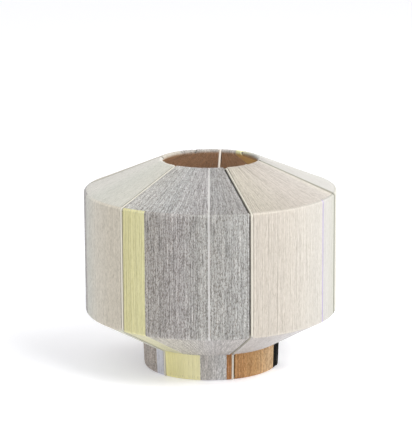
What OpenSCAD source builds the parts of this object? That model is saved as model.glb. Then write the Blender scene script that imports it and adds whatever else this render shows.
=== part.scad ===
// A yarn-wound lampshade, standing on its collar: axis on Z, floor at Z = 0, millimetres.
// Five wire rings carry six bent wire ribs. Between the ribs, each panel is wound in yarn
// that runs round its two rings, so a panel has an outer skin, an inner skin and a hollow.
// Turns are in degrees about Z, from the front (-Y) towards the right (+X).

/* [Outline] */
// Radius of the top ring, to the middle of its wire
top_r = 75.2; // [55:0.1:90]
// Radius of the shoulder and hip rings, to the middle of their wire
drum_r = 186.4; // [160:0.1:200]
// Radius of the waist ring, to the middle of its wire
waist_r = 100.2; // [85:0.1:120]
// Radius of the base ring, to the middle of its wire
base_r = 98.6; // [85:0.1:120]
// Height of the waist ring's wire above the floor
waist_z = 41.8; // [30:0.1:55]
// Height of the hip ring's wire above the floor
hip_z = 89.4; // [75:0.1:110]
// Height of the shoulder ring's wire above the floor
shoulder_z = 268.2; // [220:0.1:280]
// Height of the top ring's wire above the floor
top_z = 313.3; // [300:0.1:330]

/* [Wire] */
// Thickness of the ring wire
ring_d = 4; // [3.6:0.1:5]
// Thickness of the rib wire
rib_d = 3.4; // [3:0.1:3.8]
// Bend of the rib wire at the rings, to the middle of the wire
rib_bend_r = 3.5; // [3:0.1:5]
// Distance from the middle of a ring's wire out to the middle of the rib's
rib_seat = 1.9; // [1.6:0.1:2.2]
// How far a rib's upper end stops short of the middle of the top ring's wire
rib_top_end = 1; // [0.8:0.1:1.2]
// How far a rib's lower end goes past the base ring's wire
rib_foot = 1.2; // [0:0.1:1.4]
// Turn of the first rib, were the six evenly spaced
rib_turn = 17.6; // [12:0.1:22]
// How much farther each of the front panel's two ribs stands from that panel's middle
front_spread = 0.6; // [0:0.1:2]

/* [Yarn] */
// Thickness of the wound yarn
yarn_t = 1.4; // [1:0.1:1.8]
// Clearance of the yarn round the ring wire
yarn_gap = 0.2; // [0.15:0.05:0.4]
// Clearance between the yarn of one section and that of the next
lap_gap = 0.2; // [0.1:0.05:0.4]
// Clearance of the yarn beside a rib
rib_gap = 0.5; // [0.4:0.1:1.4]
// Clearance of the front panel's yarn beside its two ribs, which shows as a dark line
front_gap = 1.8; // [0.4:0.1:2.6]
// Clearance between two colours of yarn
stripe_gap = 0.3; // [0.2:0.05:0.5]
// Width of the single white thread and of the single lilac one
thread_w = 2.2; // [1.6:0.1:4]

/* [Stripes] */
// Turn of the white thread, on the cone and the drum
white_turn = -0.8; // [-10:0.1:8]
// Turn of the lilac thread on the drum
lilac_turn = 60.4; // [40:0.1:70]
// Turn where the drum's left panel goes from grey to beige
drum_grey_end = -78; // [-95:0.1:-55]
// Turn where the yellow ends on the drum's front panel
drum_yellow_end = -30.1; // [-38:0.1:-15]
// Turn where the yellow ends on the waist ring, below the front panel
waist_yellow_end = -23; // [-38:0.1:0]
// Turn where the yellow of the cone's back panel ends at the shoulder
shoulder_yellow_end = 158; // [145:0.1:162]
// Turn where the yellow of the cone's back panel ends at the top
top_yellow_end = 147; // [143:0.1:157]
// Turn where the grey of the cone's left back panel ends
cone_grey_end = 219; // [205:0.1:250]
// Turn where the collar goes from grey to lilac
collar_lilac = -52.5; // [-90:0.1:-47]
// Turn where the collar goes from yellow to grey
collar_yellow_end = -9.2; // [-35:0.1:0]
// Turn where the collar goes from grey to tan, left of the rib
collar_tan = 12.8; // [4:0.1:14]
// Turn where the collar goes from tan to black
collar_black = 66; // [30:0.1:73]

/* [Lamp holder] */
// Thickness of the wire of the three arms
arm_d = 3.5; // [3:0.1:4.5]
// How far the arms set into the top ring where they are welded
arm_weld = 0.5; // [0.3:0.1:0.8]
// How far an arm's end stands past its weld
arm_end = 1.8; // [1:0.1:2.5]
// Depth of the lamp ring below the top ring
arm_drop = 120; // [80:1:150]
// Hole that the lamp holder passes through
lamp_bore_d = 41; // [29:0.5:43]
// Width of the flat lamp ring
lamp_ring_w = 7; // [5:0.5:10]
// Thickness of the flat lamp ring
lamp_ring_t = 2.5; // [1.5:0.1:4]
// Clearance of the yarn beside an arm
arm_gap = 0.4; // [0.3:0.1:0.8]

/* [Hidden] */

painted = [0.90, 0.87, 0.78];
grey = [0.66, 0.65, 0.62];
pale = [0.80, 0.79, 0.76];
cream = [0.92, 0.90, 0.85];
white = [0.95, 0.95, 0.93];
beige = [0.84, 0.81, 0.76];
silver = [0.77, 0.76, 0.74];
yellow = [0.85, 0.82, 0.58];
lilac = [0.72, 0.71, 0.75];
tan_brown = [0.66, 0.49, 0.34];
black = [0.14, 0.12, 0.11];

rib_count = 6;
arm_count = 3;
arc_steps = 8;
// How much a bend bulges, how far a leg goes into it, and the gap in a rib's weld notch
bend_bulge = 0.1;
leg_tuck = 0.4;
weld_gap = 0.02;
// Turn that a winding is revolved past its edges before they are cut, and the turn of each
// straight piece of the outline that cuts it
spare_turn = 3;
rim_turn = 15;
wire_fn = 24;
ring_fn = 144;

// The yarn's inner and outer face, from the middle of the wire that it goes round
lay = ring_d / 2 + yarn_gap;
skin = lay + yarn_t;

// Each ring as [radius, height] of the middle of its wire
base = [base_r, skin];
waist = [waist_r, waist_z];
hip = [drum_r, hip_z];
shoulder = [drum_r, shoulder_z];
top = [top_r, top_z];
rings = [base, waist, hip, shoulder, top];

// ---- Rings ----

function unit(v) = v / norm(v);

module wire_ring(c)
  rotate_extrude($fn = ring_fn)
    translate(c)
      circle(d = ring_d, $fn = wire_fn);

module base_ring() color(painted) wire_ring(base);
module waist_ring() color(painted) wire_ring(waist);
module hip_ring() color(painted) wire_ring(hip);
module shoulder_ring() color(painted) wire_ring(shoulder);
module top_ring() color(painted) wire_ring(top);

// ---- Ribs: one wire bent over all five rings, notched where it is welded to each ----

function spread(i) = i == 1 ? front_spread : i % rib_count == 0 ? -front_spread : 0;
function rib_az(i) = rib_turn + (i - 1) * 360 / rib_count + spread(i);

// The outer side of a line that goes up the outline, and the rib's corner beside a ring
function outer(a, b) = let(d = unit(b - a)) [d.y, -d.x];
function rib_corner(i) = let(
    m = outer(rings[i - 1], rings[i]),
    n = outer(rings[i], rings[i + 1]))
  rings[i] + rib_seat * (m + n) / (1 + m * n);

rib_line = [
  base + rib_seat * outer(base, waist) - (ring_d / 2 + rib_foot) * unit(waist - base),
  rib_corner(1), rib_corner(2), rib_corner(3),
  top + rib_seat * outer(shoulder, top) - rib_top_end * unit(top - shoulder)];

// Each straight leg's direction, how far the wire turns at a corner, and its bend there
function leg_dir(i) = unit(rib_line[i] - rib_line[i - 1]);
function corner_turn(i) = acos(leg_dir(i) * leg_dir(i + 1));
function bend_start(i) = rib_line[i] - rib_bend_r * tan(corner_turn(i) / 2) * leg_dir(i);
function bend_end(i) = rib_line[i] + rib_bend_r * tan(corner_turn(i) / 2) * leg_dir(i + 1);
function bend_middle(i) = rib_line[i]
  + rib_bend_r / cos(corner_turn(i) / 2) * unit(leg_dir(i + 1) - leg_dir(i));

// A straight wire from p to q, both [radius, height]
module rod(p, q, d)
  translate([p.x, 0, p.y])
    rotate([0, 90 - atan2(q.y - p.y, q.x - p.x), 0])
      cylinder(h = norm(q - p), d = d, $fn = wire_fn);

// Leg i ends a little way inside the bends, which bulge as a bent wire does
module rib_leg(i)
  rod(
    i == 1 ? rib_line[0] : bend_end(i - 1) - leg_tuck * leg_dir(i),
    i == 4 ? rib_line[4] : bend_start(i) + leg_tuck * leg_dir(i),
    rib_d);

module rib_bend(i) {
  c = bend_middle(i);
  s = bend_start(i) - c;
  e = bend_end(i) - c;
  first = s.x * e.y > s.y * e.x ? s : e;
  translate([c.x, 0, c.y])
    rotate([90, 0, 0])
      rotate([0, 0, atan2(first.y, first.x)])
        rotate_extrude(angle = corner_turn(i), $fn = ring_fn)
          translate([rib_bend_r, 0])
            circle(d = rib_d + 2 * bend_bulge, $fn = wire_fn);
}

module rib(i)
  color(painted)
    rotate([0, 0, rib_az(i) - 90])
      difference() {
        union() {
          for (k = [1:4]) rib_leg(k);
          for (k = [1:3]) rib_bend(k);
        }
        for (c = rings)
          translate([c.x, -2 * rib_d, c.y])
            rotate([-90, 0, 0])
              cylinder(h = 4 * rib_d, d = ring_d + 2 * weld_gap, $fn = wire_fn);
      }

// ---- Lamp holder: a flat ring on three arms that are welded inside the top ring ----

lamp_ring_r = lamp_bore_d / 2 + lamp_ring_w;
lamp_ring_top = top_z - arm_drop;
arm_foot = [lamp_bore_d / 2 + lamp_ring_w / 2, lamp_ring_top];

// The arm lies along the tangent from its foot to a circle round the top ring's wire
arm_out = (ring_d + arm_d) / 2 - arm_weld;
arm_reach = norm(top - arm_foot);
arm_angle = atan2(top.y - arm_foot.y, top.x - arm_foot.x) + asin(arm_out / arm_reach);
arm_dir = [cos(arm_angle), sin(arm_angle)];
arm_tip = arm_foot + (sqrt(arm_reach ^ 2 - arm_out ^ 2) + arm_end) * arm_dir;

function arm_az(i) = rib_turn + 180 / rib_count + (i - 2) * 360 / arm_count;

module arm(i)
  color(painted)
    rotate([0, 0, arm_az(i) - 90])
      difference() {
        rod(arm_foot - arm_d * arm_dir, arm_tip, arm_d);
        wire_ring(top);
        translate([0, 0, lamp_ring_top - 3 * arm_d])
          cylinder(h = 3 * arm_d, r = lamp_ring_r + 2 * arm_d, $fn = wire_fn);
      }

// The opening that the yarn leaves for an arm where it goes round the top ring
module arm_slot()
  translate([top_r - 3 * skin, -arm_d / 2 - arm_gap, top_z - 2 * skin])
    cube([3 * skin, arm_d + 2 * arm_gap, 4 * skin]);

module lamp_ring()
  color(painted)
    translate([0, 0, lamp_ring_top - lamp_ring_t])
      difference() {
        cylinder(h = lamp_ring_t, r = lamp_ring_r, $fn = ring_fn);
        translate([0, 0, -1])
          cylinder(h = lamp_ring_t + 2, d = lamp_bore_d, $fn = ring_fn);
      }

// ---- Windings ----

// The outline round two wires, a and b, at distance r from their middles
function capsule(a, b, r) = let(t = atan2(b.y - a.y, b.x - a.x))
  [for (k = [0, 1], i = [0:arc_steps])
    let(u = t - 90 + 180 * (k + i / arc_steps))
    (k == 0 ? b : a) + r * [cos(u), sin(u)]];

// Yarn wound round a and b, cut back at a where it meets the yarn between a and next
module yarn_section(a, b, next)
  difference() {
    polygon(capsule(a, b, skin));
    polygon(capsule(a, b, lay));
    if (next) polygon(capsule(a, next, skin + lap_gap));
  }

// An edge of a winding: its turn on ring a and on ring b, how far it is set to the right of
// that, and the clearance beside it
function rib_edge(i) = [rib_az(i), rib_az(i), 0, rib_d / 2 + rib_gap];
function front_edge(i) = [rib_az(i), rib_az(i), 0, rib_d / 2 + front_gap];
function colour_edge(on_a, on_b) = [on_a, on_b, 0, stripe_gap / 2];
function thread_edge(turn, side) = [turn, turn, side * thread_w / 2, stripe_gap / 2];

function plan(r, az, right) = [r * sin(az) + right * cos(az), right * sin(az) - r * cos(az)];

// The edge as a line on the floor, drawn past both rings; the outline that cuts a winding
// goes round outside it
over = 4 * skin;
clear_of_ring = 2 * over;
function edge_line(a, b, e, side) = let(
    right = e[2] + side * e[3],
    p = plan(a.x, e[0], right),
    q = plan(b.x, e[1], right),
    d = abs(a.x - b.x) > over ? unit(p - q) : plan(1, e[0], 0))
  [q - over * d, p + over * d];

module winding(a, b, next, from, to) {
  first = min(from[0], from[1]) - spare_turn;
  last = max(to[0], to[1]) + spare_turn;
  wide = to[0] - from[0];
  parts = ceil(wide / rim_turn);
  from_line = edge_line(a, b, from, 1);
  to_line = edge_line(a, b, to, -1);
  rim = [for (i = [1:1:parts - 1]) plan(a.x + clear_of_ring, from[0] + wide * i / parts, 0)];
  intersection() {
    rotate([0, 0, first - 90])
      rotate_extrude(angle = last - first, $fn = ring_fn)
        yarn_section(a, b, next);
    translate([0, 0, -1])
      linear_extrude(top_z + over)
        polygon(concat(from_line, rim, [to_line[1], to_line[0]]));
  }
}

module cone(from, to)
  difference() {
    winding(shoulder, top, hip, from, to);
    for (i = [1:arm_count], az = [arm_az(i)])
      if (az > from[1] && az < to[1])
        rotate([0, 0, az - 90]) arm_slot();
  }

module drum(from, to) winding(hip, shoulder, false, from, to);
module hips(from, to) winding(hip, waist, shoulder, from, to);
module collar(from, to) winding(waist, base, hip, from, to);

module cone_left_pale() color(pale) cone(rib_edge(-1), rib_edge(0));
module cone_front_grey_left() color(grey) cone(front_edge(0), thread_edge(white_turn, -1));
module cone_front_thread() color(white) cone(thread_edge(white_turn, -1), thread_edge(white_turn, 1));
module cone_front_grey_right() color(grey) cone(thread_edge(white_turn, 1), front_edge(1));
module cone_right_beige() color(beige) cone(rib_edge(1), rib_edge(2));
module cone_right_back_white() color(white) cone(rib_edge(2), rib_edge(3));
module cone_back_yellow() color(yellow) cone(rib_edge(3), colour_edge(shoulder_yellow_end, top_yellow_end));
module cone_back_grey() color(grey) cone(colour_edge(shoulder_yellow_end, top_yellow_end), rib_edge(4));
module cone_left_back_grey() color(grey) cone(rib_edge(4), colour_edge(cone_grey_end, cone_grey_end));
module cone_left_back_cream() color(cream) cone(colour_edge(cone_grey_end, cone_grey_end), rib_edge(5));

module drum_left_grey() color(grey) drum(rib_edge(-1), colour_edge(drum_grey_end, drum_grey_end));
module drum_left_beige() color(beige) drum(colour_edge(drum_grey_end, drum_grey_end), rib_edge(0));
module drum_front_yellow() color(yellow) drum(front_edge(0), colour_edge(drum_yellow_end, drum_yellow_end));
module drum_front_grey_left()
  color(grey) drum(colour_edge(drum_yellow_end, drum_yellow_end), thread_edge(white_turn, -1));
module drum_front_thread() color(white) drum(thread_edge(white_turn, -1), thread_edge(white_turn, 1));
module drum_front_grey_right() color(grey) drum(thread_edge(white_turn, 1), front_edge(1));
module drum_right_cream() color(cream) drum(rib_edge(1), thread_edge(lilac_turn, -1));
module drum_right_thread() color(lilac) drum(thread_edge(lilac_turn, -1), thread_edge(lilac_turn, 1));
module drum_right_white() color(white) drum(thread_edge(lilac_turn, 1), rib_edge(2));
module drum_right_back_white() color(white) drum(rib_edge(2), rib_edge(3));
module drum_back_grey() color(grey) drum(rib_edge(3), rib_edge(4));
module drum_left_back_cream() color(cream) drum(rib_edge(4), rib_edge(5));

module hip_left_grey() color(pale) hips(rib_edge(-1), rib_edge(0));
module hip_front_yellow() color(yellow) hips(front_edge(0), colour_edge(drum_yellow_end, waist_yellow_end));
module hip_front_grey() color(grey) hips(colour_edge(drum_yellow_end, waist_yellow_end), front_edge(1));
module hip_right_silver() color(silver) hips(rib_edge(1), rib_edge(2));
module hip_right_back_white() color(white) hips(rib_edge(2), rib_edge(3));
module hip_back_grey() color(grey) hips(rib_edge(3), rib_edge(4));
module hip_left_back_cream() color(cream) hips(rib_edge(4), rib_edge(5));

module collar_left_grey() color(grey) collar(rib_edge(-1), colour_edge(collar_lilac, collar_lilac));
module collar_left_lilac() color(lilac) collar(colour_edge(collar_lilac, collar_lilac), rib_edge(0));
module collar_front_yellow()
  color(yellow) collar(front_edge(0), colour_edge(collar_yellow_end, collar_yellow_end));
module collar_front_grey()
  color(grey) collar(colour_edge(collar_yellow_end, collar_yellow_end), colour_edge(collar_tan, collar_tan));
module collar_front_tan() color(tan_brown) collar(colour_edge(collar_tan, collar_tan), rib_edge(1));
module collar_right_tan() color(tan_brown) collar(rib_edge(1), colour_edge(collar_black, collar_black));
module collar_right_black() color(black) collar(colour_edge(collar_black, collar_black), rib_edge(2));
module collar_right_back_grey() color(grey) collar(rib_edge(2), rib_edge(3));
module collar_back_beige() color(beige) collar(rib_edge(3), rib_edge(4));
module collar_left_back_grey() color(grey) collar(rib_edge(4), rib_edge(5));

// ---- Pieces ----

base_ring();
waist_ring();
hip_ring();
shoulder_ring();
top_ring();
rib(1);  // rib_1
rib(2);  // rib_2
rib(3);  // rib_3
rib(4);  // rib_4
rib(5);  // rib_5
rib(6);  // rib_6
arm(1);  // arm_1
arm(2);  // arm_2
arm(3);  // arm_3
lamp_ring();
cone_left_pale();
cone_front_grey_left();
cone_front_thread();
cone_front_grey_right();
cone_right_beige();
cone_right_back_white();
cone_back_yellow();
cone_back_grey();
cone_left_back_grey();
cone_left_back_cream();
drum_left_grey();
drum_left_beige();
drum_front_yellow();
drum_front_grey_left();
drum_front_thread();
drum_front_grey_right();
drum_right_cream();
drum_right_thread();
drum_right_white();
drum_right_back_white();
drum_back_grey();
drum_left_back_cream();
hip_left_grey();
hip_front_yellow();
hip_front_grey();
hip_right_silver();
hip_right_back_white();
hip_back_grey();
hip_left_back_cream();
collar_left_grey();
collar_left_lilac();
collar_front_yellow();
collar_front_grey();
collar_front_tan();
collar_right_tan();
collar_right_black();
collar_right_back_grey();
collar_back_beige();
collar_left_back_grey();
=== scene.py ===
import bpy
import numpy as np
from math import degrees, pi, radians
from mathutils import Matrix, Vector


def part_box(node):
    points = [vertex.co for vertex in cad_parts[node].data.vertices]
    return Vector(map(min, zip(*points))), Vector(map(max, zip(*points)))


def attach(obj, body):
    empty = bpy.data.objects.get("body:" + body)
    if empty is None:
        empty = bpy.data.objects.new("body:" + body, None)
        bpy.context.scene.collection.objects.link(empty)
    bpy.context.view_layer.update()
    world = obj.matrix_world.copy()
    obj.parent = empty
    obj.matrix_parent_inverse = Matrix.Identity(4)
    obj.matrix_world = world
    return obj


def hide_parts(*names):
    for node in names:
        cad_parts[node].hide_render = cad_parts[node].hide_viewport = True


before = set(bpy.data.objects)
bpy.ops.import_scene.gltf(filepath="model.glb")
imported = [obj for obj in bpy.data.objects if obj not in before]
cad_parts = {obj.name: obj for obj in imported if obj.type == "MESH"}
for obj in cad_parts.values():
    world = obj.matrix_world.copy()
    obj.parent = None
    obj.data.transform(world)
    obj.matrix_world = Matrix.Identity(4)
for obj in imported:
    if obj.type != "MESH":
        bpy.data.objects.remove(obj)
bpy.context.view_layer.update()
mm = 0.001

cameraView = {
    "place": (0.0, -3.2073, 0.9358),
    "aim": (-0.0066, 0.0, 0.2267),
    "lens": 180.69,
    "roll": -0.348,  # degrees
    "sight": 60.0,  # how far it sees
}


def addObject(name, data):
    added = bpy.data.objects.new(name, data)
    bpy.context.scene.collection.objects.link(added)
    return added


# The move to a place, after the turn that points -Z at the aim
def lookingAt(place, aim):
    place, aim = Vector(place), Vector(aim)
    turn = (aim - place).to_track_quat("-Z", "Y").to_matrix().to_4x4()
    return Matrix.Translation(place) @ turn


def makeCamera(view):
    data = bpy.data.cameras.new("camera")
    data.lens, data.clip_end = view["lens"], view["sight"]
    camera = addObject("camera", data)
    roll = Matrix.Rotation(radians(view["roll"]), 4, "Z")
    camera.matrix_world = lookingAt(view["place"], view["aim"]) @ roll
    bpy.context.scene.camera = camera


makeCamera(cameraView)
print("camera in place")


# A ring's radius = half its box's width less its wire's radius, its height = its box's middle, in mm
def readRing(node):
    low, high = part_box(node)
    wire = (high[2] - low[2]) / 2
    return {"radius": ((high[0] - low[0]) / 2 - wire) / mm, "height": (high[2] + low[2]) / 2 / mm}


rings = {name: readRing(name + "_ring") for name in ("top", "shoulder", "hip", "waist", "base")}
# Turn of each rib in degrees, from the front towards the right; the last is the first again
ribTurns = [-102.4, -43.0, 18.2, 77.6, 137.6, 197.6, 257.6]
armTurns = [-72.4, 47.6, 167.6]
ribWire = 3.4  # mm thick
print("rings read:", len(rings))


# Wraps a socket, so that a sum on it adds Math nodes
class Val:
    def __init__(self, finish, socket):
        self.finish, self.socket = finish, socket

    def math(self, operation, a, b=0.0):
        return self.finish.node("ShaderNodeMath", {"operation": operation}, {0: a, 1: b})

    def __add__(self, other):
        return self.math("ADD", self, other)

    def __sub__(self, other):
        return self.math("SUBTRACT", self, other)

    def __rsub__(self, other):
        return self.math("SUBTRACT", other, self)

    def __mul__(self, other):
        return self.math("MULTIPLY", self, other)

    def __truediv__(self, other):
        return self.math("DIVIDE", self, other)

    def __rtruediv__(self, other):
        return self.math("DIVIDE", other, self)

    __radd__ = __add__
    __rmul__ = __mul__

    def floor(self):
        return self.math("FLOOR", self)

    def sine(self):
        return self.math("SINE", self)

    # The value's place between low and high, from 0 to 1
    def between(self, low, high):
        return self.finish.node("ShaderNodeMapRange", {}, {"Value": self, "From Min": low, "From Max": high})


# A material with one Principled shader, and one method for every node
class Finish:
    def __init__(self, name, **fixed):
        self.material = bpy.data.materials.new(name)
        self.material.use_nodes = True
        self.tree = self.material.node_tree
        self.shader = self.tree.nodes["Principled BSDF"]
        for socket, value in fixed.items():
            self.shader.inputs[socket.replace("_", " ")].default_value = value

    def node(self, kind, settings, sockets, out=0):
        made = self.tree.nodes.new(kind)
        for key, value in settings.items():
            setattr(made, key, value)
        for key, value in sockets.items():
            self.plug(made.inputs[key], value)
        return Val(self, made.outputs[out])

    def plug(self, socket, value):
        if isinstance(value, Val):
            self.tree.links.new(value.socket, socket)
        else:
            socket.default_value = value

    def feed(self, name, value):
        self.plug(self.shader.inputs[name], value)

    # Mix of two colours by a mask; a Mix node's colours are its sockets 6 and 7, and its output 2
    def blend(self, mask, first, second, how="MIX"):
        settings = {"data_type": "RGBA", "blend_type": how}
        return self.node("ShaderNodeMix", settings, {0: mask, 6: first, 7: second}, 2)

    def times(self, colour, other):
        return self.blend(1.0, colour, other, "MULTIPLY")

    def join(self, x, y=0.0, z=0.0, kind="ShaderNodeCombineXYZ"):
        return self.node(kind, {}, {0: x, 1: y, 2: z})

    def noise(self, place, scale, detail=2.0, rough=0.5):
        sockets = {"Vector": place, "Scale": scale, "Detail": detail, "Roughness": rough}
        return self.node("ShaderNodeTexNoise", {}, sockets)

    def attribute(self, name, out="Fac"):
        return self.node("ShaderNodeAttribute", {"attribute_name": name}, {}, out)

    def bump(self, height, strength, distance):
        return self.node("ShaderNodeBump", {}, {"Height": height, "Strength": strength, "Distance": distance})


# Each yarn's two fibres, the share of the second, the length of its flecks in mm, how much
# the strands differ in tone, and how much one strand changes along its length
yarns = {
    "grey": {
        "colour": (0.475, 0.465, 0.46), "fleck": (0.19, 0.17, 0.155), "share": 0.40,
        "length": 2.8, "streak": 0.16, "drift": 1.7},
    "pale": {
        "colour": (0.68, 0.675, 0.62), "fleck": (0.52, 0.52, 0.47), "share": 0.35,
        "length": 5.0, "streak": 0.03, "drift": 0.25},
    "cream": {
        "colour": (0.61, 0.575, 0.51), "fleck": (0.50, 0.465, 0.40), "share": 0.35,
        "length": 6.0, "streak": 0.04, "drift": 0.35},
    "white": {
        "colour": (0.53, 0.52, 0.485), "fleck": (0.46, 0.45, 0.415), "share": 0.30,
        "length": 6.0, "streak": 0.03, "drift": 0.2},
    "beige": {
        "colour": (0.61, 0.56, 0.49), "fleck": (0.46, 0.42, 0.36), "share": 0.40,
        "length": 5.0, "streak": 0.05, "drift": 0.35},
    "silver": {
        "colour": (0.64, 0.61, 0.58), "fleck": (0.44, 0.42, 0.40), "share": 0.40,
        "length": 3.0, "streak": 0.06, "drift": 0.6},
    "yellow": {
        "colour": (0.70, 0.67, 0.36), "fleck": (0.58, 0.55, 0.27), "share": 0.30,
        "length": 8.0, "streak": 0.10, "drift": 0.25},
    # The yellow yarn, made lighter as painted light
    "litYellow": {
        "colour": (0.76, 0.72, 0.37), "fleck": (0.71, 0.67, 0.34), "share": 0.30,
        "length": 8.0, "streak": 0.03, "drift": 0.12},
    # The grey yarn, made lighter as painted light, with flecks of its own
    "litGrey": {
        "colour": (0.66, 0.645, 0.61), "fleck": (0.36, 0.345, 0.32), "share": 0.48,
        "length": 3.2, "streak": 0.12, "drift": 1.4},
    "lilac": {
        "colour": (0.60, 0.59, 0.62), "fleck": (0.46, 0.45, 0.48), "share": 0.35,
        "length": 5.0, "streak": 0.04, "drift": 0.4},
    "tan": {
        "colour": (0.52, 0.30, 0.14), "fleck": (0.30, 0.15, 0.06), "share": 0.40,
        "length": 4.0, "streak": 0.16, "drift": 1.1},
    "black": {
        "colour": (0.014, 0.009, 0.006), "fleck": (0.03, 0.024, 0.018), "share": 0.30,
        "length": 4.0, "streak": 0.10, "drift": 0.4},
    "whiteThread": {
        "colour": (0.63, 0.62, 0.605), "fleck": (0.56, 0.55, 0.535), "share": 0.30,
        "length": 4.0, "streak": 0.04, "drift": 0.4},
    "lilacThread": {
        "colour": (0.40, 0.35, 0.51), "fleck": (0.37, 0.32, 0.48), "share": 0.30,
        "length": 4.0, "streak": 0.04, "drift": 0.3},
}
# What all yarns have in common
spun = {
    "sheen": 0.15,
    "sheenRoughness": 0.45,
    "specular": 0.15,
    "flecks": (0.62, 0.86),  # noise at which flecks start and are full, at a share of none
    "noise": (3.0, 0.6),  # its detail and roughness
    "driftLength": 26.0,  # mm
    "fibreStep": 7.31,  # steps in the noise from one turn to the next
    "driftStep": 3.17,
    "aroundStep": 1.8,  # and once round the strand
    "plies": 2.0,
    "twist": 0.45,  # turns of the plies in a mm
    "plyDepth": 0.6,
    "hairDepth": 0.5,
    "hairScale": 4.0,
    "relief": 0.0002,  # m
    "reliefStrength": 0.35,
    "roughness": 0.82,
    "hairRoughness": 0.14,
    "paintedBendHighlight": 0.18,  # painted highlight: how much lighter a strand is where it bends over a wire
}
# Painted light on the inner side: its colour is tinted warm and it glows a little, standing in for light that
# comes through the yarn
paintedInsideLight = {"tint": (0.62, 0.44, 0.30, 1.0), "glow": (0.30, 0.19, 0.125, 1.0)}


# Tone of a strand = 1, plus its own shade and its drift along its length, with a painted highlight at a bend
def strandTone(cloth, yarn, length, turn):
    own = cloth.node("ShaderNodeTexWhiteNoise", {"noise_dimensions": "1D"}, {"W": turn})
    place = cloth.join(length / spun["driftLength"], turn * spun["driftStep"])
    drift = cloth.noise(place, 1.0, *spun["noise"])
    shade = 1.0 + (own - 0.5) * (yarn["streak"] * 2.0) + (drift - 0.5) * yarn["drift"]
    tone = (cloth.attribute("bend") * spun["paintedBendHighlight"] + 1.0) * shade
    return cloth.join(tone, tone, tone, "ShaderNodeCombineColor")


# colour = two fibres mixed by flecks along the strand, times the strand's tone, which has a painted highlight
# at bends, and the panel's tint, which holds dye and painted light and shade. The inner side gets painted
# warm light and a painted glow. relief = twisted plies and hairs
def yarnFinish(name, yarn):
    colour, fleck = (*yarn["colour"], 1.0), (*yarn["fleck"], 1.0)
    cloth = Finish(
        "yarn_" + name, Sheen_Weight=spun["sheen"], Sheen_Roughness=spun["sheenRoughness"],
        Sheen_Tint=colour, Specular_IOR_Level=spun["specular"])
    strandMap = cloth.node("ShaderNodeUVMap", {"uv_map": "strand"}, {})
    length = cloth.node("ShaderNodeSeparateXYZ", {}, {0: strandMap}, "X")  # mm along the yarn
    around = Val(cloth, length.socket.node.outputs["Y"])  # turn number plus the share of the way round
    turn = around.floor()
    roundStrand = (around - turn) * spun["aroundStep"]
    fibre = cloth.join(length / yarn["length"], turn * spun["fibreStep"], roundStrand)
    start, full = (edge - yarn["share"] * 0.5 for edge in spun["flecks"])
    flecks = cloth.noise(fibre, 1.0, *spun["noise"]).between(start, full)
    dyedAndPaintedLight = cloth.times(cloth.blend(flecks, colour, fleck), strandTone(cloth, yarn, length, turn))
    dyedAndPaintedLight = cloth.times(dyedAndPaintedLight, cloth.attribute("tint", "Color"))
    # Painted warm light and a painted glow go where the attribute inner is high, on the inner side
    inner = cloth.attribute("inner")
    cloth.feed("Base Color", cloth.blend(inner, dyedAndPaintedLight, cloth.times(dyedAndPaintedLight, paintedInsideLight["tint"])))
    glow = cloth.times(dyedAndPaintedLight, paintedInsideLight["glow"])
    cloth.feed("Emission Color", cloth.blend(inner, (0, 0, 0, 1), glow))
    cloth.feed("Emission Strength", 1.0)
    ply = ((around * spun["plies"] + length * spun["twist"]) * (2 * pi)).sine() * 0.5 + 0.5
    hairs = cloth.noise(fibre, spun["hairScale"])
    cloth.feed("Roughness", spun["roughness"] + hairs * spun["hairRoughness"])
    relief = ply * spun["plyDepth"] + hairs * spun["hairDepth"]
    cloth.feed("Normal", cloth.bump(relief, spun["reliefStrength"], spun["relief"]))
    return cloth.material


yarnMaterials = {name: yarnFinish(name, yarn) for name, yarn in yarns.items()}
print("yarn finishes made:", len(yarnMaterials))

strand = {
    "pitch": 1.15,  # mm between strands on the wider ring
    "width": 0.58,  # half width, mm
    "height": 0.52,  # half thickness, mm
    "sides": 6,
    "sway": 0.11,  # mm that a strand wanders to the side
    "slowWave": 1.2,  # waves of that from ring to ring
    "quickWave": 2.9,
    "quickShare": 0.6,
    "uneven": 0.30,  # mm that strands differ in spacing
    "loose": 0.16,  # mm that strands differ in height
    "crowding": 0.18,  # share by which strands narrow where turns lie on each other
}
# For each section: its two rings, how far the strand's middle lies from each wire's, the lift of
# crowded turns at the second ring, and the points on the outer pass
sections = {
    "cone": {"rings": ("shoulder", "top"), "lie": (2.75, 3.0), "lift": 0.34, "points": 9},
    "drum": {"rings": ("hip", "shoulder"), "lie": (3.05, 3.05), "lift": 0.0, "points": 11},
    "hip": {"rings": ("hip", "waist"), "lie": (2.75, 3.0), "lift": 0.25, "points": 5},
    "collar": {"rings": ("waist", "base"), "lie": (3.0, 3.05), "lift": 0.0, "points": 4},
}
# Open gap in mm before and after each rib of a section; the last rib is the first again.
# Below zero, the yarn lies over the rib
ribGaps = {
    "cone": [(0.1, 0.6), (1.1, 0.1), (2.8, 0.1), (1.8, 0.1), (0.4, 0.4), (0.4, 0.4), (0.1, 0.6)],
    "drum": [(0.1, 1.2), (0.1, 2.0), (2.4, 0.1), (2.4, 0.1), (0.4, 0.4), (0.4, 0.4), (0.1, 1.2)],
    "hip": [(0.3, 1.0), (-3.2, 1.4), (3.4, -3.2), (1.0, 0.3), (0.4, 0.4), (0.4, 0.4), (0.3, 1.0)],
    "collar": [(0.2, 0.8), (0.1, 1.0), (0.2, 1.1), (-3.2, 0.3), (0.4, 0.4), (0.4, 0.4), (0.2, 0.8)],
}
innerGap = 0.1  # mm from a rib's middle to the yarn on the inner side, which no rib parts
overRib = {"lift": 1.25, "reach": 2.25, "slope": 0.9}  # mm, and the slope as mm of reach
armPart = {"half": 2.3, "reach": 8.0}  # mm that the yarn stays clear of an arm, and the reach of that
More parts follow.
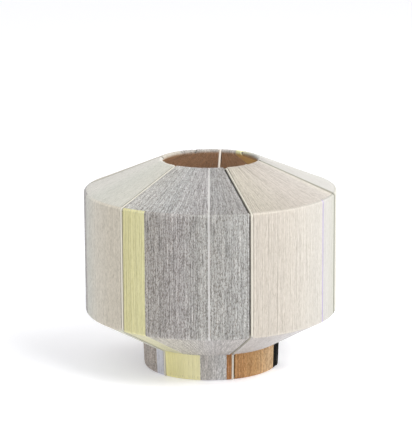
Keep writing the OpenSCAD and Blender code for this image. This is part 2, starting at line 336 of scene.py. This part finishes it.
# The inner side starts at a share of half a turn round the wire, and blends in over another.
# Of a strand's own faces, those towards the axis are inner, with a soft edge
innerSide = {"start": 0.55, "blend": 0.35, "contrast": 1.5, "past": 0.3}
bendAt = {"middle": 0.5, "width": 0.55}  # where a bend's painted highlight lies, in radians round the wire from the outer side
thread = {"white": -0.7, "lilac": 60.4, "width": 2.7}  # turns in degrees, and mm


def ringsOf(section):
    return [rings[name] for name in sections[section]["rings"]]


# A thread's side on each of both rings = its turn, and half its width along the ring as an angle
def threadSide(section, colour, side):
    half = thread["width"] / 2
    return tuple(thread[colour] + degrees(side * half / ring["radius"]) for ring in ringsOf(section))


# Where each colour starts: a rib's number, or its turn on the section's two rings
runs = {
    "cone": [
        ("cone_left_pale", "pale", 0),
        ("cone_front_grey_left", "grey", 1),
        ("cone_front_thread", "whiteThread", threadSide("cone", "white", -1)),
        ("cone_front_grey_right", "grey", threadSide("cone", "white", 1)),
        ("cone_right_beige", "beige", 2),
        ("cone_right_back_white", "white", 3),
        ("cone_back_yellow", "yellow", 4),
        ("cone_back_grey", "litGrey", (158.0, 147.0)),
        ("cone_left_back_grey", "litGrey", 5),
        ("cone_left_back_cream", "cream", (219.0, 219.0)),
    ],
    "drum": [
        ("drum_left_grey", "litGrey", 0),
        ("drum_left_beige", "beige", (-78.0, -78.0)),
        ("drum_front_yellow", "yellow", 1),
        ("drum_front_grey_left", "grey", (-30.1, -30.1)),
        ("drum_front_thread", "whiteThread", threadSide("drum", "white", -1)),
        ("drum_front_grey_right", "grey", threadSide("drum", "white", 1)),
        ("drum_right_cream", "cream", 2),
        ("drum_right_thread", "lilacThread", threadSide("drum", "lilac", -1)),
        ("drum_right_white", "white", threadSide("drum", "lilac", 1)),
        ("drum_right_back_white", "white", 3),
        ("drum_back_grey", "grey", 4),
        ("drum_left_back_cream", "cream", 5),
    ],
    "hip": [
        ("hip_left_grey", "pale", 0),
        ("hip_front_yellow", "yellow", 1),
        ("hip_front_grey", "litGrey", (-30.1, -23.0)),
        ("hip_right_silver", "silver", 2),
        ("hip_right_back_white", "white", 3),
        ("hip_back_grey", "grey", 4),
        ("hip_left_back_cream", "cream", 5),
    ],
    "collar": [
        ("collar_left_grey", "grey", 0),
        ("collar_left_lilac", "lilac", (-52.5, -52.5)),
        ("collar_front_yellow", "litYellow", 1),
        ("collar_front_grey", "litGrey", (-9.2, -9.2)),
        ("collar_front_tan", "tan", (12.8, 12.8)),
        ("collar_right_tan", "tan", 2),
        ("collar_right_black", "black", (66.0, 66.0)),
        ("collar_right_back_grey", "grey", 3),
        ("collar_back_beige", "beige", 4),
        ("collar_left_back_grey", "grey", 5),
    ],
}
# Each panel's colour changes slowly round the shade, partly the yarn's own dye and partly painted light and
# shade: stops of a turn in degrees and a tint
dyeAndShadeTints = {
    "cone_left_pale": [(-82, (0.98, 0.96, 0.98)), (-66, (0.86, 0.86, 0.86)), (-50, (0.86, 0.85, 0.84))],
    "cone_front_grey_left": [(-36, (1.16, 1.17, 1.14)), (-21, (1.09, 1.12, 1.12)), (-7, (1.01, 1.01, 1.02))],
    "cone_front_grey_right": [(4, (0.86, 0.87, 0.87)), (12, (0.98, 0.98, 0.97))],
    "cone_right_beige": [
        (24, (0.92, 0.93, 0.92)), (44, (0.89, 0.89, 0.92)), (68, (0.89, 0.90, 0.95)),
        # The last stop is painted shade in the strands beside the rib
        (74, (1.00, 1.02, 1.04)), (75.4, (0.60, 0.61, 0.59))],
    "cone_right_back_white": [
        (88, (0.99, 0.98, 1.00)), (116, (0.98, 0.99, 0.99)), (124, (0.99, 1.00, 0.92)),
        (137.6, (1.02, 1.03, 0.80))],
    "cone_back_yellow": [(147, (1.02, 1.06, 1.28))],
    "cone_back_grey": [(147, (1.00, 0.98, 0.98))],
    "cone_left_back_grey": [(197, (1.00, 0.98, 0.98))],
    "drum_left_grey": [(-82, (0.80, 0.80, 0.84))],
    "drum_left_beige": [
        # The first stop is painted shade in the strands beside the rib
        (-76.6, (0.78, 0.82, 0.89)), (-76, (0.99, 1.07, 1.13)), (-73, (0.99, 1.07, 1.13)),
        (-62, (1.07, 1.10, 1.11)), (-50, (1.00, 1.01, 0.99))],
    "drum_front_yellow": [(-39, (0.88, 0.87, 0.94)), (-33, (0.97, 0.97, 1.08))],
    "drum_front_grey_left": [(-25, (0.91, 0.89, 0.85)), (-14, (0.97, 0.95, 0.94)), (-5, (0.96, 0.97, 0.94))],
    "drum_front_grey_right": [(3.5, (0.94, 0.95, 0.92)), (12, (1.01, 1.03, 1.01))],
    "drum_right_cream": [(23, (0.95, 0.93, 0.93)), (37, (0.93, 0.92, 0.93)), (54, (0.84, 0.85, 0.88))],
    "drum_right_white": [
        (64, (0.89, 0.88, 0.89)), (73, (0.81, 0.81, 0.78)), (74.2, (0.90, 0.90, 0.87)),
        # The last stop is painted shade in the strands beside the rib
        (75, (0.42, 0.43, 0.39))],
    "drum_right_back_white": [(77.6, (0.90, 0.90, 0.85)), (80, (0.95, 0.95, 0.93))],
    "hip_left_grey": [(-54, (0.95, 0.95, 0.90))],
    "hip_front_yellow": [(-33, (0.88, 0.89, 1.21))],
    "hip_front_grey": [(-16, (0.90, 0.88, 0.83)), (0, (0.86, 0.85, 0.88)), (12, (0.88, 0.86, 0.88))],
    "hip_right_silver": [(26, (0.82, 0.81, 0.81)), (46, (0.95, 0.97, 1.01))],
    "collar_left_grey": [(-62, (1.13, 1.05, 0.99))],
    "collar_left_lilac": [(-48.5, (1.06, 1.08, 1.10))],
    "collar_front_yellow": [(-36, (1.07, 1.06, 1.14)), (-17, (1.11, 1.11, 1.35))],
    "collar_front_grey": [(-5, (0.94, 0.92, 0.92)), (7, (1.04, 1.05, 1.09))],
    "collar_front_tan": [(15, (0.81, 0.71, 0.66))],
    "collar_right_tan": [(25, (0.97, 0.97, 0.95)), (40, (1.01, 1.11, 1.15)), (58, (1.04, 1.32, 1.74))],
    "collar_right_black": [(71, (0.05, 0.05, 0.05))],
    "collar_right_back_grey": [(88, (0.05, 0.04, 0.04)), (88.6, (1.00, 1.00, 1.00))],
}
# The yarn that each of these finishes is made of, where its name is not that yarn's; the grey and the yellow
# here carry painted light
slotOf = {"whiteThread": "white", "lilacThread": "lilac", "litYellow": "yellow", "litGrey": "grey"}


# Distance in mm from a rib's middle to the nearest strand's on the side before or after it,
# and none at another colour
def ribSpace(section, edge, side):
    if not isinstance(edge, int):
        return 0
    return ribWire / 2 + strand["width"] + ribGaps[section][edge][side > 0]


# An edge as the turn of its outermost strand on each ring, in radians: half a pitch from
# another colour, and a space from a rib
def edgeTurns(section, edge, side):
    radii = [ring["radius"] for ring in ringsOf(section)]
    if isinstance(edge, int):
        return [radians(ribTurns[edge]) + side * ribSpace(section, edge, side) / radius for radius in radii]
    return [radians(turn) + side * strand["pitch"] / 2 / max(radii) for turn in edge]


# Stations of one turn: how far along it is from the first ring (0) to the second (1), and its wrap,
# which is the angle round their wires. In order: inner pass to the first, round it, outer pass, round
# the second, inner pass back
def turnStations(points):
    roundWire = np.arange(1, 6) * pi / 6
    outer = np.linspace(0, 1, points + 2)
    along = np.concatenate([[0.5, 0.2, 0], np.zeros(5), outer, np.ones(5), [1, 0.8]])
    wrap = np.concatenate([[-pi] * 3, roundWire - pi, np.zeros(points + 2), roundWire, [pi] * 2])
    return along, wrap


# Angle between a turn and a mark, from minus to plus half a turn
def angleFrom(mark, theta):
    return np.mod(theta - radians(mark) + pi, 2 * pi) - pi


# Yarn at u mm from an arm is moved to half + |u| (1 - half / reach) on its side, out to the reach
def partRoundArms(theta, radius):
    shift = np.zeros_like(theta)
    for arm in armTurns:
        u = angleFrom(arm, theta) * radius
        near = np.abs(u) < armPart["reach"]
        aside = armPart["half"] + np.abs(u) * (1 - armPart["half"] / armPart["reach"])
        aside = np.where(u < 0, -1, 1) * aside
        shift += np.where(near, (aside - u) / radius, 0)
    return shift


# Yarn over a rib is lifted in full up to reach - slope from the rib's middle, and less until the reach
def liftOverRibs(theta, radius):
    nearest = np.min([np.abs(angleFrom(rib, theta)) for rib in ribTurns], axis=0)
    return overRib["lift"] * np.clip((overRib["reach"] - nearest * radius) / overRib["slope"], 0, 1)


# The directions of a section in (radius, height): from its first ring to its second, and out of it,
# which is the same turned by a right angle
def sectionDirections(a, b):
    slope = np.array([b["radius"] - a["radius"], b["height"] - a["height"]])
    slope = slope / np.hypot(*slope)
    rising = 1 if b["height"] > a["height"] else -1
    return slope, rising * np.array([slope[1], -slope[0]])


# A pair (radius, height) at the turn theta = (radius sin, -radius cos, height)
def turned(radius, height, theta):
    return np.stack([radius * np.sin(theta), -radius * np.cos(theta), np.full_like(theta, height)], -1)


# point = the place between the two rings, plus the distance from the wire's middle in the direction
# that the wrap has reached, plus the strand's wandering to the side. The turns run from start to end
def windYarn(node, yarn, section, start, end, close, seed):
    spec = sections[section]
    a, b = ringsOf(section)
    rng = np.random.default_rng(seed)
    arc = max((end[0] - start[0]) * a["radius"], (end[1] - start[1]) * b["radius"])
    turns = max(2, 1 + int(round(arc / strand["pitch"])))
    along, wrap = turnStations(spec["points"])
    count = len(along)
    share = np.linspace(-0.5, 0.5, count, endpoint=False)
    progress = np.clip((np.arange(turns)[:, None] + share) / (turns - 1), 0, 1)
    along, wrap = np.broadcast_to(along, progress.shape), np.broadcast_to(wrap, progress.shape)

    inner = np.clip((np.abs(wrap) / pi - innerSide["start"]) / innerSide["blend"], 0, 1)
    closed = inner * (close[0] * (1 - progress) - close[1] * progress)
    thetaA = start[0] + (end[0] - start[0]) * progress - closed / a["radius"]
    thetaB = start[1] + (end[1] - start[1]) * progress - closed / b["radius"]
    if section == "cone":  # the arms part its yarn, on the inner pass only
        pastTop = np.clip(np.clip(wrap / pi * 2 - 1, 0, 1) * along + (wrap < -3) * along, 0, 1)
        thetaB = thetaB + partRoundArms(thetaB, b["radius"]) * pastTop
    theta = thetaA + (thetaB - thetaA) * along

    chance = rng.random((turns, 4))[:, :, None]
    layer = rng.integers(0, 3, turns)[:, None] - 1
    lie = spec["lie"][0] + (spec["lie"][1] - spec["lie"][0]) * along + layer * spec["lift"] * along ** 2
    lie = lie + (chance[:, 0] - 0.5) * strand["loose"]
    radius = a["radius"] + (b["radius"] - a["radius"]) * along
    lie = lie + liftOverRibs(theta, radius) * np.clip(np.cos(wrap), 0, 1)
    slowSway = np.sin(2 * pi * (strand["slowWave"] * along + chance[:, 1]))
    quickSway = np.sin(2 * pi * (strand["quickWave"] * along + chance[:, 2]))
    sway = strand["sway"] * (slowSway + strand["quickShare"] * quickSway)
    side = sway * np.sin(pi * along) + strand["uneven"] * (chance[:, 3] - 0.5)

    slope, normal = sectionDirections(a, b)
    outward = (
        np.cos(wrap)[..., None] * turned(*normal, theta)
        + np.sin(wrap)[..., None] * turned(*slope, theta))
    across = np.stack([np.cos(theta), np.sin(theta), np.zeros_like(theta)], -1)
    middle = (
        turned(a["radius"], a["height"], thetaA) * (1 - along)[..., None]
        + turned(b["radius"], b["height"], thetaB) * along[..., None])
    path = (middle + lie[..., None] * outward + side[..., None] * across).reshape(-1, 3)
    narrow = 1 - strand["crowding"] * along * (spec["lift"] > 0)
    across = (across * narrow[..., None]).reshape(-1, 3)
    bend = np.exp(-(((np.abs(wrap) - bendAt["middle"]) / bendAt["width"]) ** 2))
    shades = inner.reshape(-1), bend.reshape(-1), panelDyeAndShade(node, np.degrees(theta).reshape(-1))
    return makeThread("yarn_" + node, yarn, path, outward.reshape(-1, 3), across, shades, count)


# The tint at each point = a straight blend between the stops that a panel has round the shade
def panelDyeAndShade(node, turns):
    stops = dyeAndShadeTints.get(node, [(0, (1, 1, 1))])
    places = [at for at, _ in stops]
    return np.stack([np.interp(turns, places, [colour[c] for _, colour in stops]) for c in range(3)], -1)


# Faces of a tube: squares between neighbours, i along it and j round it, with a cap at both ends
def tubeFaces(total, sides):
    i, j = np.meshgrid(np.arange(total - 1), np.arange(sides), indexing="ij")
    nextJ = (j + 1) % sides
    squares = np.stack([i * sides + j, (i + 1) * sides + j, (i + 1) * sides + nextJ, i * sides + nextJ], -1)
    caps = np.array([np.arange(sides), (total - 1) * sides + np.arange(sides)[::-1]])
    corners = np.concatenate([squares.reshape(-1), caps.reshape(-1)]).astype(np.int32)
    starts = np.concatenate([np.arange(i.size) * 4, i.size * 4 + np.arange(2) * sides]).astype(np.int32)
    return i, j, corners, starts


# A map's place for every corner of the squares; the caps take the first one's
def addMap(mesh, name, flat):
    capUv = np.repeat(flat.reshape(-1, 2)[:1], 2 * strand["sides"], axis=0)
    flat = np.concatenate([flat.reshape(-1, 2), capUv]).astype(np.float32)
    mesh.uv_layers.new(name=name).uv.foreach_set("vector", flat.reshape(-1))


# The strand map = mm along the yarn, and turns with the share of the way round the strand. The bake
# map = the share of the way along a turn, and the same turns laid side by side
def mapThread(mesh, path, i, j, count):
    sides = strand["sides"]
    length = np.concatenate([[0], np.cumsum(np.linalg.norm(np.diff(path, axis=0), axis=1))])
    turn, station = i // count, i % count
    turns = (len(path) - 1) // count + 1
    ends = [(0, 0), (1, 0), (1, 1), (0, 1)]
    across = [turn + (j + dj) / sides for _, dj in ends]
    bakeMap = [np.stack([(station + di) / count, at / turns], -1) for (di, _), at in zip(ends, across)]
    strandMap = [np.stack([length[i + di], at], -1) for (di, _), at in zip(ends, across)]
    addMap(mesh, "OFBake", np.stack(bakeMap, 2))
    addMap(mesh, "strand", np.stack(strandMap, 2))


# inner = how far the wire's inner side is reached, times how much a face looks at the axis. The bends
# and the tint are the same all round the strand
def shadeThread(mesh, inner, bend, tint, alpha):
    facing = np.clip(np.sin(alpha) * innerSide["contrast"] - innerSide["past"], 0, 1)
    inner = (inner[:, None] * facing[None, :]).reshape(-1)
    for title, values in (("inner", inner), ("bend", np.repeat(bend, len(alpha)))):
        mesh.attributes.new(title, "FLOAT", "POINT").data.foreach_set("value", values.astype(np.float32))
    tint = np.repeat(tint, len(alpha), axis=0).astype(np.float32)
    mesh.attributes.new("tint", "FLOAT_VECTOR", "POINT").data.foreach_set("vector", tint.reshape(-1))


# point = path + width cos(alpha) across + height sin(alpha) outward
def makeThread(name, yarn, path, outward, across, shades, count):
    alpha = np.arange(strand["sides"]) * 2 * pi / strand["sides"]
    ring = (
        path[:, None, :]
        + strand["width"] * np.cos(alpha)[None, :, None] * across[:, None, :]
        + strand["height"] * np.sin(alpha)[None, :, None] * outward[:, None, :])
    i, j, corners, starts = tubeFaces(len(path), strand["sides"])
    mesh = bpy.data.meshes.new(name)
    mesh.from_pydata(ring.reshape(-1, 3) * mm, [], [])
    mesh.loops.add(len(corners))
    mesh.polygons.add(len(starts))
    mesh.loops.foreach_set("vertex_index", corners)
    mesh.polygons.foreach_set("loop_start", starts)
    mesh.polygons.foreach_set("use_smooth", np.ones(len(starts), bool))
    mesh.update(calc_edges=True)
    mesh.validate()
    mapThread(mesh, path, i, j, count)
    shadeThread(mesh, *shades, alpha)
    mesh.materials.append(yarnMaterials[yarn])
    return addObject(name, mesh)


def windShade():
    seed = 1
    for section, colours in runs.items():
        for place, (node, yarn, first) in enumerate(colours):
            after = colours[place + 1][2] if place + 1 < len(colours) else len(ribTurns) - 1
            start, end = edgeTurns(section, first, 1), edgeTurns(section, after, -1)
            spaces = ribSpace(section, first, 1), ribSpace(section, after, -1)
            close = [max(0, space - innerGap) for space in spaces]
            piece = windYarn(node, yarn, section, start, end, close, seed)
            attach(piece, "root")
            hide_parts(node)
            "yarn_" + slotOf.get(yarn, yarn)
            seed += 1
        print("wound", section)


windShade()

paint = {
    # One cream paint: front and arm are it with painted light, sides and rings are it with painted shade
    "wire": (0.62, 0.585, 0.50),
    "front": (0.72, 0.685, 0.59),
    "sides": (0.33, 0.325, 0.27),
    "rings": (0.26, 0.245, 0.21),
    "arm": (0.90, 0.85, 0.77),
    "worn": 0.86,  # share of the colour that is left where the coat is worn
    "wear": 0.35,
    "wearScale": 60.0,
    "peelScale": 900.0,
    "peel": 0.0001,  # m
    "peelStrength": 0.15,
    "coat": 0.15,
    "roughness": 0.42,
    "wearRoughness": 0.12,
}
# Wires whose coat isn't the plain one, all the same cream paint: rib_6 and arm_3 with painted light, and
# rib_2, rib_5 and arm_1 with painted shade. The five rings that the yarn goes round have the rings' coat,
# which is painted shade
lightAndShadeCoatOf = {"rib_6": "front", "rib_2": "sides", "rib_5": "sides", "arm_1": "sides", "arm_3": "arm"}


# colour = the paint, a little darker where noise wears it, over an orange peel relief
def paintFinish(kind):
    colour = paint[kind]
    coat = Finish(kind + "_paint", Coat_Weight=paint["coat"])
    place = coat.node("ShaderNodeTexCoord", {}, {}, "Object")
    wear = coat.noise(place, paint["wearScale"], 3.0)
    worn = [channel * paint["worn"] for channel in colour]
    coat.feed("Base Color", coat.blend(wear * paint["wear"], (*colour, 1.0), (*worn, 1.0)))
    coat.feed("Roughness", paint["roughness"] + wear * paint["wearRoughness"])
    peel = coat.noise(place, paint["peelScale"])
    coat.feed("Normal", coat.bump(peel, paint["peelStrength"], paint["peel"]))
    return coat.material


def paintFrame():
    coats = {kind: paintFinish(kind) for kind in ("wire", "front", "sides", "rings", "arm")}
    for name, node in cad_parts.items():
        if name.endswith("_ring") or name.startswith(("rib_", "arm_")):
            # The rings in the yarn take the rings' coat, which is painted shade
            plain = "rings" if name.removesuffix("_ring") in rings else "wire"
            node.data.materials.clear()
            node.data.materials.append(coats[lightAndShadeCoatOf.get(name, plain)])


paintFrame()
print("wire frame painted")

stage = {
    "floor": 0.93,
    "floorSize": 30.0,
    "floorRoughness": 0.9,
    "floorGlow": 0.245,  # the floor is lit from beneath a little, as a light table is
    "floorLight": (0.89, 0.90, 1.0, 1.0),
    "world": 0.77,
    "lamps": {
        "key": {"place": (1.77, -2.11, 2.47), "size": 1.6, "power": 60.0},
        "side": {"place": (3.3, 0.3, 0.8), "size": 1.2, "power": 52.0},
        "top": {"place": (1.2, -0.4, 3.0), "size": 1.0, "power": 8.0},
    },
    "aim": (0.0, 0.0, 0.16),
}


def makeFloor():
    mesh = bpy.data.meshes.new("floor")
    floor = addObject("floor", mesh)
    far, tone = stage["floorSize"], stage["floor"]
    mesh.from_pydata([(-far, -far, 0), (far, -far, 0), (far, far, 0), (-far, far, 0)], [], [(0, 1, 2, 3)])
    finish = Finish("floor_white", Roughness=stage["floorRoughness"])
    finish.feed("Base Color", (tone, tone, tone, 1.0))
    finish.feed("Emission Color", stage["floorLight"])
    finish.feed("Emission Strength", stage["floorGlow"])
    mesh.materials.append(finish.material)


def makeLamp(name, spec):
    data = bpy.data.lights.new(name, "AREA")
    data.shape, data.size, data.energy = "DISK", spec["size"], spec["power"]
    addObject(name, data).matrix_world = lookingAt(spec["place"], stage["aim"])


def makeWorld():
    world = bpy.data.worlds.new("studio")
    world.use_nodes = True
    sky = world.node_tree.nodes["Background"]
    sky.inputs["Color"].default_value = (1, 1, 1, 1)
    sky.inputs["Strength"].default_value = stage["world"]
    bpy.context.scene.world = world


makeFloor()
for name, spec in stage["lamps"].items():
    makeLamp(name, spec)
makeWorld()
bpy.context.scene.view_settings.view_transform = "Standard"
print("floor and light set")
